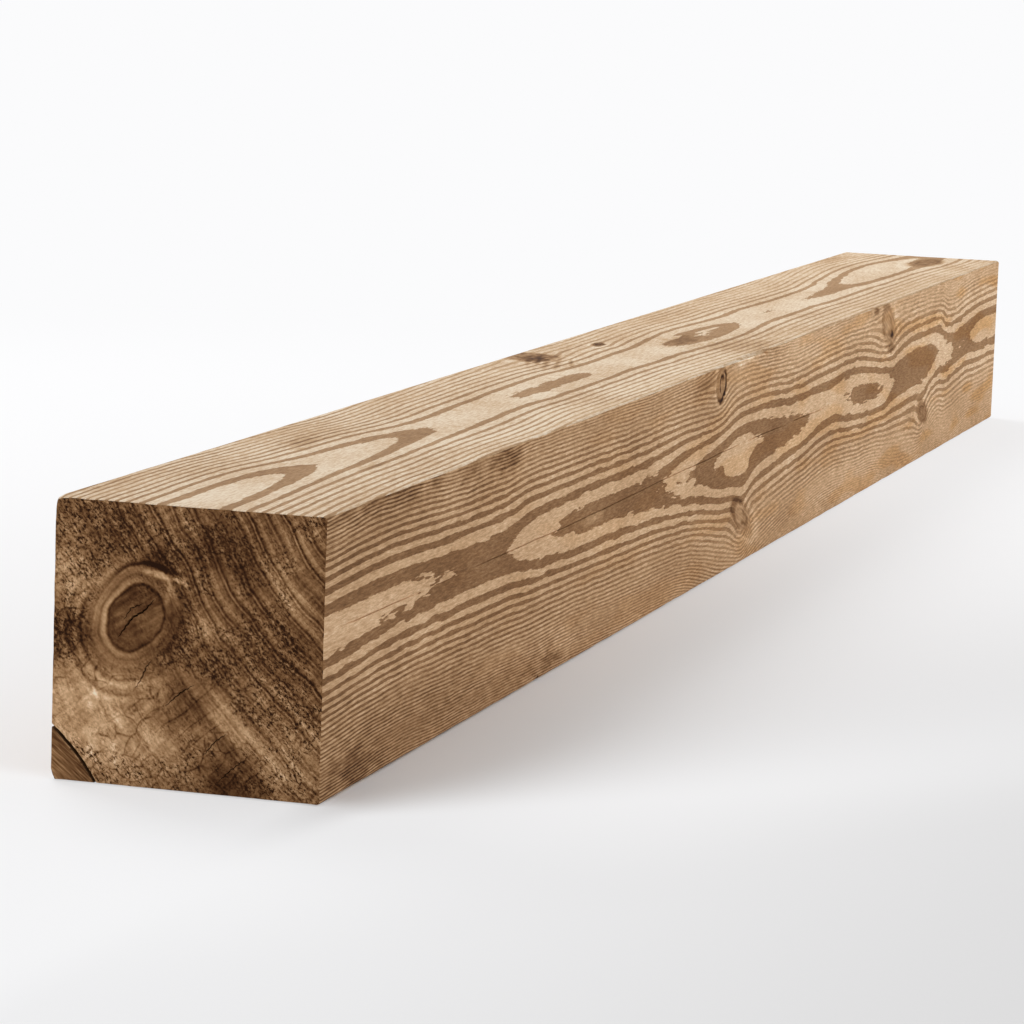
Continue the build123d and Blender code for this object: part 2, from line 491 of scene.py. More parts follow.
def end_relief(y, z, seed, knot):
    """How far an end's surface lies inside the saw cut, in metres: torn fibres, sunk rings and the knot."""
    across = (y - hidden_side) / section
    down = (section - z) / section
    rings = np.hypot(across - pith[0], down - pith[1]) / ring_pitch
    depth = 0.00030 + 0.00018 * np.cos(rings * 2 * math.pi)
    depth = depth + 0.0005 * value_noise(across * 60 + seed, down * 60)
    depth = depth + 0.0004 * value_noise(across * 7 + seed, down * 7)
    if knot:
        away = ellipse_distance(across, down, knot.at, knot.size, knot.tilt)
        depth = depth + 0.0007 * np.exp(-((away - 1.0) / 0.10) ** 2) - 0.0002 * smooth_step(1.0, 0.6, away)
        depth = depth + 0.0003 * np.cos(away * 14) * smooth_step(2.0, 1.0, away)
    return np.maximum(0.00002, depth)


def end_cap(loop, spacing, cracks, seed, knot):
    """A triangulated end: its points, its triangles, and each point's depth and number before that."""
    points = [Vector(p) for p in loop]
    edges = []
    deep = {}
    taken = list(points)
    for crack in cracks:
        middle, left, right, open_share = crack_rows(crack)
        first = len(points)
        points += middle
        for k, share in enumerate(open_share):
            deep[first + k] = crack.depth * share
        edges += [(first + k, first + k + 1) for k in range(len(middle) - 1)]
        for side in (left, right):
            start = len(points)
            points += side
            chain = [first] + list(range(start, start + len(side))) + [first + len(middle) - 1]
            edges += list(zip(chain, chain[1:]))
        taken += middle
    blocked = np.array([(p.x, p.y) for p in taken])
    draw = np.random.default_rng(seed)
    row_height = spacing * 0.866
    rows = int(section / row_height) + 1
    cells = int(section / spacing) + 1
    grid = []
    for row in range(1, rows):
        for cell in range(cells + 1):
            jitter = draw.uniform(-0.2, 0.2, 2) * spacing
            place = hidden_side + (cell + 0.5 * (row % 2)) * spacing
            grid.append((place + jitter[0], row * row_height + jitter[1]))
    grid = np.array(grid)
    margin = 0.0018
    inside = (np.abs(grid[:, 0]) < half - margin) & (np.abs(grid[:, 1] - half) < half - margin)
    grid = grid[inside]
    apart = spacing * 0.62
    clear = np.array([np.min(np.hypot(*(blocked - p).T)) > apart for p in grid])
    grid = grid[clear]
    start = len(points)
    points += [Vector(p) for p in grid]
    sunk = end_relief(grid[:, 0], grid[:, 1], seed, knot)
    for k, depth in enumerate(sunk):
        deep[start + k] = depth
    border = list(range(len(loop)))
    found, _, faces, origin, _, _ = delaunay_2d_cdt(points, edges, [border], 1, 1e-7)
    source = [o[0] for o in origin]
    return found, [tuple(f) for f in faces], [deep.get(s, 0.0) for s in source], source


def sawn_mesh():
    """The sawn timber before its splits: one watertight mesh, with the face of each polygon as its slot."""
    loops, owner = sawn_loops()
    rows, columns = loops.shape[:2]
    points = loops.reshape(-1, 3).tolist()
    polygons = []
    slots = []
    for row in range(rows - 1):
        base = row * columns
        for column in range(columns):
            beside = (column + 1) % columns
            corners = (column, beside, columns + beside, columns + column)
            polygons.append(tuple(base + corner for corner in corners))
            slots.append(int(owner[column]))
    ends = [(NEAR, 0, near_end, -1, 0.0023, end_cracks, 5, end_knot),
            (FAR, (rows - 1) * columns, far_end, 1, 0.0042, far_cracks, 6, None)]
    for slot, base, x, inward, spacing, cracks, seed, knot in ends:
        loop = [(p[1], p[2]) for p in points[base:base + columns]]
        found, faces, deep, source = end_cap(loop, spacing, cracks, seed, knot)
        numbers = []
        for place, depth, origin in zip(found, deep, source):
            if origin < columns:
                numbers.append(base + origin)
            else:
                numbers.append(len(points))
                points.append((x + inward * depth, place.x, place.y))
        for face in faces:
            corners = [numbers[k] for k in face]
            polygons.append(tuple(corners if inward < 0 else reversed(corners)))
            slots.append(slot)
    mesh = bpy.data.meshes.new("timber_wood")
    mesh.from_pydata(points, [], polygons)
    mesh.polygons.foreach_set("material_index", slots)
    return mesh


# Cutters for what has split off or opened
def solid_between(outer, inner):
    """A closed block between two grids of points that face each other."""
    rows, columns = outer.shape[:2]
    points = outer.reshape(-1, 3).tolist() + inner.reshape(-1, 3).tolist()
    back = rows * columns
    polygons = []
    for row in range(rows - 1):
        for column in range(columns - 1):
            a = row * columns + column
            polygons.append((a, a + 1, a + columns + 1, a + columns))
            polygons.append((back + a, back + a + columns, back + a + columns + 1, back + a + 1))
    rim = list(range(columns))
    rim += [row * columns + columns - 1 for row in range(1, rows)]
    rim += [(rows - 1) * columns + column for column in range(columns - 2, -1, -1)]
    rim += [row * columns for row in range(rows - 2, 0, -1)]
    for a, b in zip(rim, rim[1:] + rim[:1]):
        polygons.append((b, a, back + a, back + b))
    mesh = bpy.data.meshes.new("cutter")
    mesh.from_pydata(points, [], polygons)
    return mesh


def shake_cutter():
    """The open ring shake: a strip that follows one ring, with walls that wander together."""
    chord = math.hypot(shake_run, shake_rise)
    outward = (shake_rise / chord, shake_run / chord)
    radius = (chord ** 2 / 4 + shake_bulge ** 2) / (2 * shake_bulge)
    centre_y = hidden_side + shake_run / 2 - outward[0] * (radius - shake_bulge)
    centre_z = shake_rise / 2 - outward[1] * (radius - shake_bulge)
    half_angle = math.asin((chord / 2 + 0.008) / radius)
    facing = math.atan2(outward[1], outward[0])
    depths = np.concatenate([[-0.01, 0.0, 0.002], np.linspace(0.006, shake_depth, 52)])
    angles = np.linspace(facing - half_angle, facing + half_angle, 34)
    along, angle = np.meshgrid(depths, angles, indexing="ij")
    share = np.clip(along / shake_depth, 0, 1)
    gap = shake_gap + (shake_gap_inside - shake_gap) * share
    wander = 0.0013 * value_noise(along * 14, angle * radius * 130) * smooth_step(0, 0.03, along)
    wander = wander + 0.0005 * value_noise(along * 40 + 9, angle * radius * 700)
    walls = []
    for sign, seed in ((1, 0.0), (-1, 31.0)):
        rough = 0.0006 * value_noise(along * 60 + seed, angle * radius * 900 + seed)
        reach = radius + wander + sign * np.maximum(0.0002, gap / 2 + rough * 0.6)
        walls.append(np.stack([near_end - along, centre_y + reach * np.cos(angle),
                               centre_z + reach * np.sin(angle)], axis=-1))
    return solid_between(*walls)


def chip_cutter():
    """What has broken off the tip of the loosened corner: everything past one rough break."""
    on_length = Vector((near_end - chip_depth, hidden_side, 0))
    on_width = Vector((near_end, hidden_side + chip_width, 0))
    on_height = Vector((near_end, hidden_side, chip_height))
    normal = (on_width - on_length).cross(on_height - on_length).normalized()
    tip = Vector((near_end, hidden_side, 0))
    if normal.dot(tip - on_length) < 0:
        normal = -normal
    middle = (on_length + on_width + on_height) / 3
    side = (on_height - on_length).normalized()
    other = normal.cross(side)
    span = np.linspace(-0.016, 0.016, 22)
    a, b = np.meshgrid(span, span, indexing="ij")
    rough = 0.0011 * value_noise(a * 260 + 3, b * 700 + 8, 3)
    face = np.array(middle) + a[..., None] * np.array(side) + b[..., None] * np.array(other)
    outer = face + 0.03 * np.array(normal)
    inner = face + rough[..., None] * np.array(normal)
    return solid_between(outer, inner)


def nick_cutter():
    """The small crushed scoop in the bottom edge of the seen side."""
    sink = (nick_radius - nick_depth) / math.sqrt(2)
    centre = Vector((near_end - nick_from_end, seen_side + sink, -sink))
    built = bpy.data.meshes.new("cutter")
    rings = 16
    turns = 28
    points = [(0, 0, -1)]
    for ring in range(1, rings):
        lift = -math.cos(math.pi * ring / rings)
        wide = math.sin(math.pi * ring / rings)
        for t in range(turns):
            turn = 2 * math.pi * t / turns
            points.append((wide * math.cos(turn), wide * math.sin(turn), lift))
    points.append((0, 0, 1))
    place = np.array(points)
    rough = 1 + 0.10 * value_noise(place[:, 0] * 6 + 3, place[:, 1] * 6 + place[:, 2] * 4)
    half_sizes = np.array([nick_length / 2, nick_radius, nick_radius])
    place = place * rough[:, None] * half_sizes + np.array(centre)
    polygons = [(0, 1 + (t + 1) % turns, 1 + t) for t in range(turns)]
    for ring in range(rings - 2):
        for t in range(turns):
            a = 1 + ring * turns + t
            b = 1 + ring * turns + (t + 1) % turns
            polygons.append((a, b, b + turns, a + turns))
    last = 1 + (rings - 2) * turns
    polygons += [(last + t, last + (t + 1) % turns, len(points) - 1) for t in range(turns)]
    built.from_pydata(place.tolist(), [], polygons)
    return built


def outward_facing(mesh):
    """Turns a closed mesh's polygons so that they all face out."""
    volume = 0.0
    mesh.calc_loop_triangles()
    place = [v.co for v in mesh.vertices]
    for triangle in mesh.loop_triangles:
        a, b, c = (place[k] for k in triangle.vertices)
        volume += a.dot(b.cross(c))
    if volume < 0:
        mesh.flip_normals()
    return mesh


def add_object(name, mesh):
    made = bpy.data.objects.new(name, mesh)
    bpy.context.scene.collection.objects.link(made)
    return made


def cut(mesh, cutters, materials):
    """The mesh less every cutter, whose walls take the split wood's slot."""
    body = add_object("uncut", mesh)
    for material in materials:
        mesh.materials.append(material)
    helpers = []
    for cutter in cutters:
        cutter.materials.append(materials[SPLIT])
        helper = add_object("helper", outward_facing(cutter))
        step = body.modifiers.new("cut", "BOOLEAN")
        step.operation = "DIFFERENCE"
        step.solver = "MANIFOLD"
        step.material_mode = "TRANSFER"
        step.object = helper
        helpers.append(helper)
    graph = bpy.context.evaluated_depsgraph_get()
    result = bpy.data.meshes.new_from_object(body.evaluated_get(graph))
    for helper in helpers + [body]:
        bpy.data.objects.remove(helper)
    result.name = "timber_wood"
    return result


# Materials: a small language of plain arithmetic over shader nodes
class Term:
    """One number or colour in a material. Arithmetic on it adds the nodes that work it out."""

    def __init__(self, tree, socket):
        self.tree = tree
        self.socket = socket

    def __add__(self, other):
        return maths("ADD", self, other)

    __radd__ = __add__

    def __sub__(self, other):
        return maths("SUBTRACT", self, other)

    def __rsub__(self, other):
        return maths("SUBTRACT", other, self)

    def __mul__(self, other):
        return maths("MULTIPLY", self, other)

    __rmul__ = __mul__

    def __truediv__(self, other):
        return maths("DIVIDE", self, other)

    def __rtruediv__(self, other):
        return maths("DIVIDE", other, self)


def tree_of(*values):
    return next(value.tree for value in values if isinstance(value, Term))


def feed(node, inputs):
    """Links a term into each of a node's inputs, or sets a plain value on it."""
    for name, value in inputs.items():
        if isinstance(value, Term):
            value.tree.links.new(value.socket, node.inputs[name])
        else:
            node.inputs[name].default_value = value


def worked_out(tree, kind, inputs, output=0, **settings):
    """Adds a shader node with its settings and inputs, and gives one of its outputs."""
    node = tree.nodes.new("ShaderNode" + kind)
    for name, setting in settings.items():
        setattr(node, name, setting)
    feed(node, inputs)
    return Term(tree, node.outputs[output])


def maths(operation, *values):
    return worked_out(tree_of(*values), "Math", dict(enumerate(values)), operation=operation)


def ramp(start, stop, value):
    """0 at start and 1 at stop, smoothly, and flat past both."""
    low, high = 0.0, 1.0
    if not isinstance(start, Term) and start > stop:
        start, stop, low, high = stop, start, high, low
    inputs = {"Value": value, "From Min": start, "From Max": stop, "To Min": low, "To Max": high}
    return worked_out(tree_of(value), "MapRange", inputs, interpolation_type="SMOOTHSTEP")


def point(x, y, z=0.0):
    return worked_out(tree_of(x, y, z), "CombineXYZ", {0: x, 1: y, 2: z})


def noise_at(where, detail=1.0, roughness=0.5):
    """Smooth noise about zero over a place; most of it lies within 0.3."""
    inputs = {"Vector": where, "Scale": 1.0, "Detail": detail, "Roughness": roughness}
    return worked_out(where.tree, "TexNoise", inputs, noise_dimensions="2D") - 0.5


def grain_noise(x, y, detail=1.0, roughness=0.5):
    """The same noise over two coordinates."""
    return noise_at(point(x, y), detail, roughness)


def crazing(x, y):
    """Distance to the nearest border in a net of uneven cells about one unit across."""
    inputs = {"Vector": point(x, y), "Scale": 1.0}
    shape = dict(voronoi_dimensions="2D", feature="DISTANCE_TO_EDGE")
    return worked_out(tree_of(x, y), "TexVoronoi", inputs, "Distance", **shape)


def along_curve(u, stops, ceiling):
    """A value that follows given stops along the timber."""
    reach = length / section
    line = worked_out(u.tree, "FloatCurve", {"Value": u / reach})
    mapping = line.socket.node.mapping
    curve = mapping.curves[0]
    values = [(x / reach, y / ceiling) for x, y in stops]
    curve.points[0].location = values[0]
    curve.points[1].location = values[-1]
    for value in values[1:-1]:
        curve.points.new(*value)
    for handle in curve.points:
        handle.handle_type = "AUTO_CLAMPED"
    mapping.update()
    return line * ceiling


def placed(where, at, size, tilt=0.0):
    """The place as seen from an ellipse's centre, turned with it and counted in its half sizes."""
    turn = (0, 0, math.radians(tilt))
    inputs = {"Vector": where, "Location": (*at, 0), "Rotation": turn, "Scale": (*size, 1)}
    return worked_out(where.tree, "Mapping", inputs, vector_type="TEXTURE")


def away_from(where, at, size, tilt=0.0):
    """Distance from an ellipse's centre, where 1 is its outline."""
    place = placed(where, at, size, tilt)
    return worked_out(where.tree, "VectorMath", {0: place}, "Value", operation="LENGTH")


def blended(first, second, share):
    """One colour turning into another."""
    return worked_out(share.tree, "Mix", {0: share, 6: first, 7: second}, 2, data_type="RGBA")


def mixed(first, second, share):
    """One number turning into another."""
    return first + (second - first) * share


def hump(value, centre, width):
    """1 at the centre and 0 past the width on either side."""
    return ramp(width, 0.0, maths("ABSOLUTE", value - centre))


def with_spots(tone, where, spots, rim, middle, ragged, strength=1.0):
    """Adds every spot to a tone: its full share up to the distance middle, and none past the rim."""
    for x, y, wide, high, tilt, share in spots:
        away = away_from(where, (x, y), (wide, high), tilt) + ragged
        tone = tone + ramp(rim, middle, away) * (share * strength)
    return tone


def srgb(*display):
    """A display colour, 0 to 255, as the linear colour that the shader takes."""
    shares = [channel / 255 for channel in display]
    return (*(c / 12.92 if c <= 0.04045 else ((c + 0.055) / 1.055) ** 2.4 for c in shares), 1.0)


# Display colours of the treated wood, dark to pale. A tone is the red share of one of them.
wood_tones = [(38, 21, 11), (66, 41, 23), (88, 60, 38), (104, 75, 49), (128, 96, 67), (156, 124, 92),
              (182, 150, 118), (207, 178, 147), (228, 208, 186), (243, 231, 216)]


def toned(tone, gain, warmth=0.0):
    """The wood's colour at a tone, lifted by the gain that its face's light asks for."""
    colour = worked_out(tone.tree, "ValToRGB", {0: tone})
    stops = colour.socket.node.color_ramp.elements
    stops[0].position = wood_tones[0][0] / 255
    stops[1].position = wood_tones[-1][0] / 255
    for red, _, _ in wood_tones[1:-1]:
        stops.new(red / 255)
    for stop, (red, green, blue) in zip(stops, wood_tones):
        stop.color = srgb(red, green * (1 - 0.35 * warmth), blue * (1 - warmth))
    return worked_out(tone.tree, "VectorMath", {0: colour, "Scale": gain}, operation="SCALE")


def new_material(name):
    """A material with its surface shader, and the place on the object as three terms."""
    material = bpy.data.materials.new(name)
    material.use_nodes = True
    tree = material.node_tree
    where = worked_out(tree, "TexCoord", {}, "Object")
    parts = worked_out(tree, "SeparateXYZ", {0: where}).socket.node.outputs
    return material, tree.nodes["Principled BSDF"], [Term(tree, part) for part in parts]


def give_grain(surface, colour, roughness, grain, relief, strength):
    """Gives a wood its colour, its dull surface and the fine relief of its grain."""
    bump = worked_out(grain.tree, "Bump", {"Strength": strength, "Distance": relief, "Height": grain})
    feed(surface, {"Base Color": colour, "Roughness": roughness, "Normal": bump})
    feed(surface, {"IOR": 1.45, "Specular IOR Level": 0.06})


def ring_number(u, v, where, face):
    """The growth ring number over a long face, and the distance from the heart line."""
    seed = face.seed
    drift = 0.020 * grain_noise(u * 0.9 + seed, v * 2.0) + 0.007 * grain_noise(u * 4.0 + seed, v * 9.0, 0.0)
    bent = v + drift
    for knot in face.knots:
        off = bent - knot.at[1]
        ahead = u - knot.at[0]
        near_side, far_side = knot.sweep
        span = maths("MAXIMUM", ahead, 0.0) / far_side + maths("MINIMUM", ahead, 0.0) / near_side
        swell = knot.push ** 2
        reach = span * span + swell
        bent = bent - off * (0.88 * swell) / (reach + off * off)
        if knot.dip:
            bent = bent - knot.dip * swell / (reach + off * off * 0.12)
    from_heart = bent - along_curve(u, face.heart, 1.0)
    is_below = maths("GREATER_THAN", from_heart, 0.0)
    spread = mixed(along_curve(u, face.above, 0.04), along_curve(u, face.below, 0.04), is_below)
    size = maths("ABSOLUTE", from_heart)
    past_straight = maths("MAXIMUM", size - face.straight, 0.0)
    rise = size * size - past_straight * past_straight
    ring = along_curve(u, face.level, 12.0) + rise * (rise * mixed(*face.crowd, is_below) + 1.0) / spread
    ring = with_spots(ring, where, face.dents, 1.0, 0.0, 0.0)
    ragged = 0.42 * grain_noise(u * 6 + seed, v * 38, 0.0) + 0.14 * grain_noise(u * 16, v * 110 + seed, 0.0)
    torn = 0.25 + 1.25 * ramp(-0.10, 0.14, grain_noise(u * 1.1 + seed, v * 3.0, 0.0))
    return ring + ragged * torn * face.ragged, size


def knot_tone(tone, u, v, where, knot, seed):
    """Lays one knot over the tone: streaked wood, a small core, and a dark crescent on part of its rim."""
    away = away_from(where, knot.at, knot.size, knot.tilt) + 0.34 * grain_noise(u * 14 + seed, v * 16)
    width, height = knot.size
    streak = noise_at(placed(where, knot.at, (width * 0.7, height * 0.2), knot.tilt))
    body = knot.body + 0.022 * maths("SINE", away * 22.0) + 0.30 * streak
    tone = mixed(tone, body, ramp(1.12, 0.80, away) * 0.85)
    turn = towards(maths("ARCTAN2", v - knot.at[1], u - knot.at[0]), knot.bark)
    facing = ramp(-0.35, 0.75, turn)
    rim = hump(away, 0.98, 0.34) * (0.12 + 0.88 * facing)
    hook = hump(away, 0.44, 0.24) * ramp(0.75, -0.25, turn)
    halo = hump(away, 1.50, 0.40) * (1.0 - facing)
    return tone - (0.40 * rim + 0.26 * hook) * knot.dark + 0.06 * halo


def towards(turn, bearing):
    """1 where a direction points along the bearing, in degrees, and -1 where it points away."""
    return maths("COSINE", turn - math.radians(bearing))


def planed_wood(name, face, from_top):
    """A planed long face with its growth figure, knots, smudges and fibres."""
    material, surface, (x, y, z) = new_material(name)
    u = (near_end - x) / section
    v = (section - z) / section if from_top else (y - hidden_side) / section
    seed = face.seed
    where = point(u, v)
    reach = u / (length / section)
    fibre = grain_noise(u * 13 + seed, v * 110, 2.0, 0.85)
    ring, size = ring_number(u, v, where, face)
    wave = maths("SINE", ring * math.pi) + face.thin + 0.5 * fibre
    late = ramp(0.0, 1.0, 0.5 - wave / (size * 1.6 + 0.10))
    streak = grain_noise(u * 1.3 + seed, v * 14.0)
    fading = ramp(0.12, 0.42, size) * (mixed(*face.fade, reach) + 1.1 * streak)
    fading = maths("MINIMUM", maths("MAXIMUM", fading, 0.0), 0.85)
    late = mixed(late, mixed(*face.rest, reach), fading)
    patch = grain_noise(u * 1.6 + seed, v * 4.0, 2.0)
    # The pale and dark band tones change from the near end to the far end; on the seen side that rise is
    # painted light
    tone = mixed(mixed(*face.pale, reach), mixed(*face.late, reach), late) + 0.34 * fibre + 0.15 * patch
    for knot in face.knots:
        tone = knot_tone(tone, u, v, where, knot, seed)
    cloud = 1.4 * grain_noise(u * 7 + seed, v * 24, 2.0)
    tone = with_spots(tone, where, face.smudges, 1.0, 0.0, cloud, -1.0)
    colour = toned(tone, face.gain, face.warmth)
    amber = toned(tone - 0.03, face.gain, face.warmth + 0.17)
    resin = ramp(0.0, 0.16, grain_noise(u * 1.2 + seed + 5, v * 7.0, 1.0))
    colour = blended(colour, amber, reach * (0.2 + 0.8 * resin) * face.resin)
    give_grain(surface, colour, 0.74 + 0.25 * fibre, fibre, 0.0005, 0.8)
    return material


def end_knot_tone(tone, fuzzy, across, down, off, knot, stain, ray, seed):
    """Lays the knot of a sawn end over its tone, and calms the torn fibres there."""
    wobble = off + 0.34 * grain_noise(across * 5 + seed, down * 5, 3.0, 0.6)
    turn = maths("ARCTAN2", down - knot.at[1], across - knot.at[0])
    left = 0.5 + 0.5 * towards(turn, 195)
    inside = 0.33 + 0.30 * stain + 0.20 * ray + 0.32 * grain_noise(across * 17 + seed, down * 17, 3.0, 0.6)
    rings = 0.36 + 0.13 * left + 0.05 * maths("SINE", wobble * 17.0 + 1.8) + 0.34 * stain
    rings = rings + 0.025 * maths("SINE", wobble * 47.0)
    tone = mixed(tone, rings, ramp(2.05, 1.60, wobble) * (0.40 + 0.45 * left))
    tone = mixed(tone, inside, ramp(1.10, 0.95, wobble))
    bark = 0.12 + 0.88 * ramp(0.70, 0.97, towards(turn, -88))
    beak = ramp(0.80, 0.98, towards(turn, -45))
    shell = ramp(0.15, 0.85, towards(turn, 142))
    lines = [(0.16, 1.16, 0.13, left), (-0.20, 1.62, 0.10, bark), (0.14, 1.45, 0.20, beak),
             (-0.12, 1.0, 0.07, 1.0), (0.13, 2.15, 0.14, shell), (-0.13, 1.95, 0.09, shell),
             (0.09, 2.60, 0.14, shell), (-0.10, 2.42, 0.09, shell)]
    for lift, centre, width, share in lines:
        tone = tone + lift * hump(wobble, centre, width) * share
    return tone, fuzzy * (1.0 - 0.75 * ramp(1.8, 1.4, wobble))


def end_grain(name, face):
    """A sawn end: rings about a pith outside the section, rays, torn fibres, stains and perhaps a knot."""
    material, surface, (_, y, z) = new_material(name)
    across = (y - hidden_side) / section
    down = (section - z) / section
    where = point(across, down)
    seed = face.seed
    dx = across - pith[0]
    dy = down - pith[1]
    radius = maths("SQRT", dx * dx + dy * dy)
    angle = maths("ARCTAN2", dy, dx * -1.0)
    stain = grain_noise(across * 3.6 + seed, down * 3.6, 4.0, 0.65)

    # Rings and rays
    bend = 0.055 * grain_noise(across * 2.3 + seed, down * 2.3)
    bend = bend + 0.024 * grain_noise(across * 8 + seed, down * 8)
    bend = bend + 0.03 * grain_noise(radius * 8 + seed, 0.3, 0.0)
    knot = face.knot
    if knot:
        off = away_from(where, knot.at, knot.size, knot.tilt)
        bend = bend + 0.050 * ramp(3.4, 0.8, off)
    phase = maths("FRACT", (radius + bend) / ring_pitch)
    lines = hump(phase, 0.42, 0.14) + 0.6 * hump(phase, 0.68, 0.11)
    glow = 0.7 * hump(phase, 0.55, 0.07) + 1.1 * hump(phase, 0.06, 0.26)
    strong = 0.30 + 0.70 * ramp(-0.15, 0.45, across - down * 0.75)
    strong = strong * (1.0 + 1.5 * grain_noise(radius * 15 + seed, angle * 5.0, 0.0))
    ray = grain_noise(angle * 150 + seed, radius * 7, 1.0)
    tone = face.base + 0.32 * stain + (0.085 * glow - 0.17 * lines) * strong + 0.18 * ray

    # Hairline splits along the rays, and a net of fine cracks on the paler side
    rays = maths("FRACT", angle * 44.0 + 0.9 * grain_noise(across * 5 + seed, down * 5, 1.0))
    split = hump(rays, 0.5, 0.09) * ramp(0.0, 0.15, grain_noise(across * 6 + seed + 2, down * 6))
    split = split * ramp(-0.10, 0.30, down - across)
    pale_side = ramp(-0.15, 0.25, down - across)
    net = crazing(radius * 17 + 0.9 * grain_noise(across * 11, down * 11, 1.0), angle * 46)
    net = ramp(0.10, 0.0, net) * ramp(-0.06, 0.10, grain_noise(across * 8 + seed, down * 8, 1.0))
    blotch = grain_noise(across * 15 + seed, down * 15, 2.0)
    tone = tone - 0.13 * split + (0.28 * blotch - 0.15 * net) * pale_side

    # Torn fibres
    grit = grain_noise((across + down) * 40 + seed, (across - down) * 74, 4.0, 0.85)
    clump = grain_noise((across + down) * 9 + seed, (across - down) * 15, 2.0, 0.7)
    fuzzy = 0.24 + 0.8 * ramp(-0.06, 0.14, grain_noise(across * 3.4 + seed + 4, down * 3.4, 2.0))
    fuzzy = with_spots(fuzzy, where, face.torn, 1.3, 0.3, 1.1 * stain)
    fuzzy = maths("MINIMUM", fuzzy, 1.3) * (0.45 + 1.15 * ramp(-0.12, 0.14, clump))
    if knot:
        tone, fuzzy = end_knot_tone(tone, fuzzy, across, down, off, knot, stain, ray, seed)
    tone = with_spots(tone, where, face.patches, 1.25, 0.25, 1.1 * stain)
    dark_fleck = 0.36 * ramp(0.0, 0.13, grit) * fuzzy
    pale_fleck = (0.08 * fuzzy + 0.03) * ramp(0.02, -0.16, grit)
    tone = tone - dark_fleck + pale_fleck - 0.14 * grit
    if face.corner:
        gone = across / (shake_run / section) + (1.0 - down) / (shake_rise / section)
        streaks = grain_noise(across * 9 + down * 6, across * 85 - down * 110, 2.0, 0.7)
        tone = mixed(tone, 0.56 - 0.17 * gone + 0.60 * streaks, ramp(1.04, 0.98, gone))
    colour = toned(tone, face.gain, face.warmth)
    give_grain(surface, colour, 0.82 + 0.25 * grit, grit, 0.0009, 0.6)
    return material


def split_wood(name):
    """Wood split open along its fibres, stained dark by the treatment."""
    material, surface, (x, y, z) = new_material(name)
    fibre = grain_noise(x * 60, (y + z) * 1500, 2.0, 0.7)
    stain = grain_noise(x * 22, (y + z) * 60)
    colour = toned(0.34 + 0.30 * fibre + 0.25 * stain, 1.2)
    give_grain(surface, colour, 0.82 + 0.3 * fibre, fibre, 0.0008, 0.8)
    return material


# Flat picture map of the mesh: a row for each long face, squares for the ends and strips for the splits
map_cells = {
    TOP: (0.002, 0.805, 0.996, 0.192),
    SEEN: (0.002, 0.607, 0.996, 0.192),
    HIDDEN: (0.002, 0.409, 0.996, 0.192),
    BOTTOM: (0.002, 0.211, 0.996, 0.192),
    NEAR: (0.002, 0.004, 0.201, 0.201),
    FAR: (0.207, 0.004, 0.201, 0.201),
}
outer_wall_cell = (0.412, 0.108, 0.34, 0.096)
inner_wall_cell = (0.412, 0.004, 0.34, 0.096)
chip_cell = (0.760, 0.004, 0.10, 0.10)
nick_cell = (0.870, 0.004, 0.10, 0.10)


def read(items, name, kind, width=1):
    """One property of every item of a mesh, with its parts in columns."""
    values = np.zeros(len(items) * width, kind)
    items.foreach_get(name, values)
    return values.reshape(-1, width).squeeze()


def lay_out_map(mesh):
    """Gives every corner of every polygon its place on the flat picture map."""
    vertex = read(mesh.loops, "vertex_index", np.int32)
    x, y, z = read(mesh.vertices, "co", np.float32, 3)[vertex].T
    sizes = read(mesh.polygons, "loop_total", np.int32)
    slot = np.repeat(read(mesh.polygons, "material_index", np.int32), sizes)
    normal = np.repeat(read(mesh.polygons, "normal", np.float32, 3), sizes, axis=0)
    centre = np.repeat(read(mesh.polygons, "center", np.float32, 3), sizes, axis=0)
    u = (near_end - x) / length
    share_y = (y - hidden_side) / section
    share_z = z / section
    flat = {TOP: (u, share_y), SEEN: (u, share_z), BOTTOM: (u, share_y), HIDDEN: (u, share_z),
            NEAR: (share_y, share_z), FAR: (share_y, share_z)}
    result = np.zeros((len(vertex), 2))

    def fill(where, cell, a, b):
        result[where, 0] = cell[0] + cell[2] * np.clip(a, 0, 1)[where]
        result[where, 1] = cell[1] + cell[3] * np.clip(b, 0, 1)[where]

    for face, cell in map_cells.items():
        fill(slot == face, cell, *flat[face])
    split = slot == SPLIT
    along = (near_end - x) / shake_depth
    sideways = ((y - hidden_side) - z + shake_rise) / (shake_run + shake_rise)
    outer = normal[:, 1] + normal[:, 2] < 0
    fill(split & outer, outer_wall_cell, along, sideways)
    fill(split & ~outer, inner_wall_cell, along, sideways)
    at_nick = split & (centre[:, 1] > 0)
    nick_wide, nick_high = 0.03, 0.02
    from_nick = near_end - nick_from_end - x
    fill(at_nick, nick_cell, from_nick / nick_wide + 0.5, (y - z - half) / nick_high + 0.5)
    chip_wide, chip_high = 0.012, 0.014
    near_tip = centre[:, 0] > near_end - chip_depth - 0.002
    near_tip = near_tip & (np.hypot(centre[:, 1] - hidden_side, centre[:, 2]) < chip_wide)
    at_chip = split & near_tip & (normal[:, 0] > 0.25)
    fill(at_chip, chip_cell, (y - hidden_side) / chip_wide, z / chip_high)
    layer = mesh.uv_layers.new(name="OFBake")
    layer.data.foreach_set("uv", result.ravel())


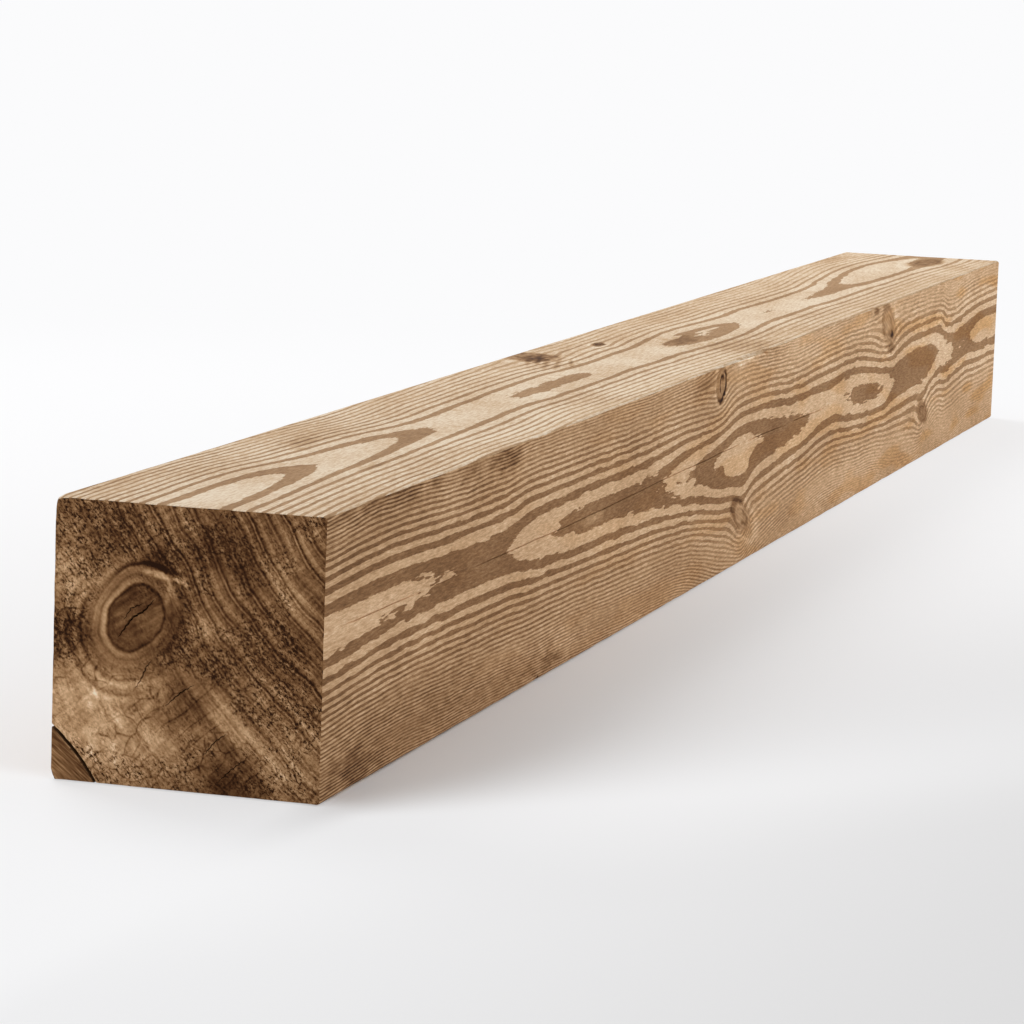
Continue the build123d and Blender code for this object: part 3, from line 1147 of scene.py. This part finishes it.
def make_timber():
    """The whole timber: sawn, split, mapped and given its wood."""
    woods = [
        planed_wood("wood_top", top_face, False),
        planed_wood("wood_seen_side", seen_face, True),
        planed_wood("wood_bottom", bottom_face, False),
        planed_wood("wood_hidden_side", hidden_face, True),
        end_grain("wood_near_end", near_cut),
        end_grain("wood_far_end", far_cut),
        split_wood("wood_split"),
    ]
    mesh = outward_facing(sawn_mesh())
    mesh = cut(mesh, [shake_cutter(), chip_cutter(), nick_cutter()], woods)
    lay_out_map(mesh)
    mesh.shade_smooth()
    mesh.set_sharp_from_angle(angle=math.radians(38))
    piece = add_object("timber_wood", mesh)
    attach(piece, "root")
    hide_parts("timber")


# Setting: floor, light and camera
floor_size = 90.0
camera_place = Vector((19.492, 5.038, 3.019)) * section
camera_azimuth = math.radians(106.55)
camera_elevation = math.radians(8.14)
camera_roll = math.radians(2.03)
focal_length = 145.2
sensor_width = 36.0
# White glow of the backdrop far off, and of the painted light over the floor near the timber
backdrop_and_painted_light_glow = srgb(251, 251, 252)
floor_grey = srgb(245, 245, 246)
# Floor colour of the painted shade towards the seen side and the near end
floor_painted_shade = srgb(206, 205, 205)
floor_gap = 0.0004

# The painted shadow edge crosses the floor at the near end, square to this direction in plan
painted_shadow_edge_x = 0.48
painted_shadow_edge_y = 0.87


def camera_frame():
    """The camera's right, up and back directions."""
    back = Vector((math.sin(camera_azimuth) * math.cos(camera_elevation),
                   -math.cos(camera_azimuth) * math.cos(camera_elevation), math.sin(camera_elevation)))
    level = Vector((0, 0, 1)).cross(back).normalized()
    upright = back.cross(level)
    right = level * math.cos(camera_roll) + upright * math.sin(camera_roll)
    return right, back.cross(right), back


def make_camera():
    lens = bpy.data.cameras.new("view")
    lens.sensor_width = sensor_width
    lens.lens = focal_length
    lens.clip_end = 200.0
    made = add_object("view", lens)
    right, up, back = camera_frame()
    turn = Matrix((right, up, back)).transposed().to_4x4()
    made.matrix_world = Matrix.Translation(camera_place) @ turn
    bpy.context.scene.camera = made


def seen_directly(tree):
    """1 for what the camera sees, directly or in a reflection or through glass."""
    path = tree.nodes.new("ShaderNodeLightPath")
    kinds = ("Is Camera Ray", "Is Glossy Ray", "Is Transmission Ray")
    direct, mirrored, through = (Term(tree, path.outputs[kind]) for kind in kinds)
    return maths("MINIMUM", direct + mirrored + through, 1.0)


def painted_floor_light(x, y):
    """The share of plain white glow laid over the floor: painted light that is small in the shadow, lifts
    it towards the far end and past a painted front edge, and is whole far off.
    """
    beside = y - seen_side
    past_end = x - near_end
    ahead = painted_shadow_edge_x * past_end + painted_shadow_edge_y * beside
    aside = maths("ABSOLUTE", painted_shadow_edge_x * beside - painted_shadow_edge_y * past_end)
    # Painted light that lifts the shadow more towards the far end, and a little on the hidden side's near
    # half
    behind = 0.74 * ramp(1.15, -0.8, x) + 0.32 * ramp(0.0, 1.0, x) * ramp(0.0, -0.1, y)

    # Painted shadow edge: past its front edge, which blurs with distance from the corner, painted light
    # turns the shadow into a paler one
    front = ramp(aside * -0.25 - 0.005, aside * 0.40 + 0.045, ahead)
    white = mixed(behind, 0.36 + 0.32 * ramp(0.30, 0.05, ahead), front)
    # Painted light that takes the shadow off the floor just in front of the near end
    painted_light_at_near_end = ramp(1.18, 1.225, x) * ramp(0.13, 0.07, y) * ramp(-0.35, -0.05, y)
    white = mixed(white, 0.62, painted_light_at_near_end)
    distance = maths("SQRT", x * x + y * y)
    return mixed(white, 1.0, ramp(1.3, 2.9, distance - 0.35 * x))


def make_floor():
    """A pale floor that keeps the shadow, with painted shade and painted light near the timber, and fades
    to white far from the timber.
    """
    mesh = bpy.data.meshes.new("floor")
    reach = floor_size / 2
    quarters = [(-1, -1), (1, -1), (1, 1), (-1, 1)]
    corners = [(reach * x, reach * y, -floor_gap) for x, y in quarters]
    mesh.from_pydata(corners, [], [(0, 1, 2, 3)])
    floor = add_object("floor", mesh)
    material, surface, (x, y, _) = new_material("floor_paper")
    tree = x.tree
    # Painted shade: the floor's colour darkens towards the seen side and the near end
    colour = blended(floor_grey, floor_painted_shade, ramp(0.0, 0.8, y) * ramp(-1.2, 1.4, x))
    feed(surface, {"Base Color": colour, "Roughness": 0.9, "Specular IOR Level": 0.1})
    # For the camera the floor glows white by this share: the backdrop far off, painted light near the
    # timber
    glow = worked_out(tree, "Emission", {"Color": backdrop_and_painted_light_glow})
    layers = {0: painted_floor_light(x, y) * seen_directly(tree), 1: Term(tree, surface.outputs[0]), 2: glow}
    feed(tree.nodes["Material Output"], {"Surface": worked_out(tree, "MixShader", layers)})
    mesh.materials.append(material)


def area_lamp(name, place, size, power):
    """A square lamp that points at the middle of the timber."""
    light = bpy.data.lights.new(name, "AREA")
    light.shape = "SQUARE"
    light.size = size
    light.energy = power
    lamp = add_object(name, light)
    target = Vector((0, 0, 0.1))
    aim = (target - Vector(place)).to_track_quat("-Z", "Y")
    lamp.matrix_world = Matrix.Translation(place) @ aim.to_matrix().to_4x4()


def make_light():
    """A soft key from the upper left and behind, a weak fill from the right, and an even pale surround."""
    area_lamp("key", (-2.1, -3.0, 4.3), 3.2, 165.0)
    area_lamp("fill", (2.6, 4.0, 2.2), 3.0, 30.0)
    world = bpy.data.worlds.new("surround")
    bpy.context.scene.world = world
    world.use_nodes = True
    tree = world.node_tree
    strength = 0.60 + 0.38 * seen_directly(tree)
    feed(tree.nodes["Background"], {"Color": (1.0, 1.0, 1.0, 1.0), "Strength": strength})


make_camera()
make_floor()
make_light()
make_timber()
bpy.context.scene.view_settings.view_transform = "Standard"
bpy.context.view_layer.update()
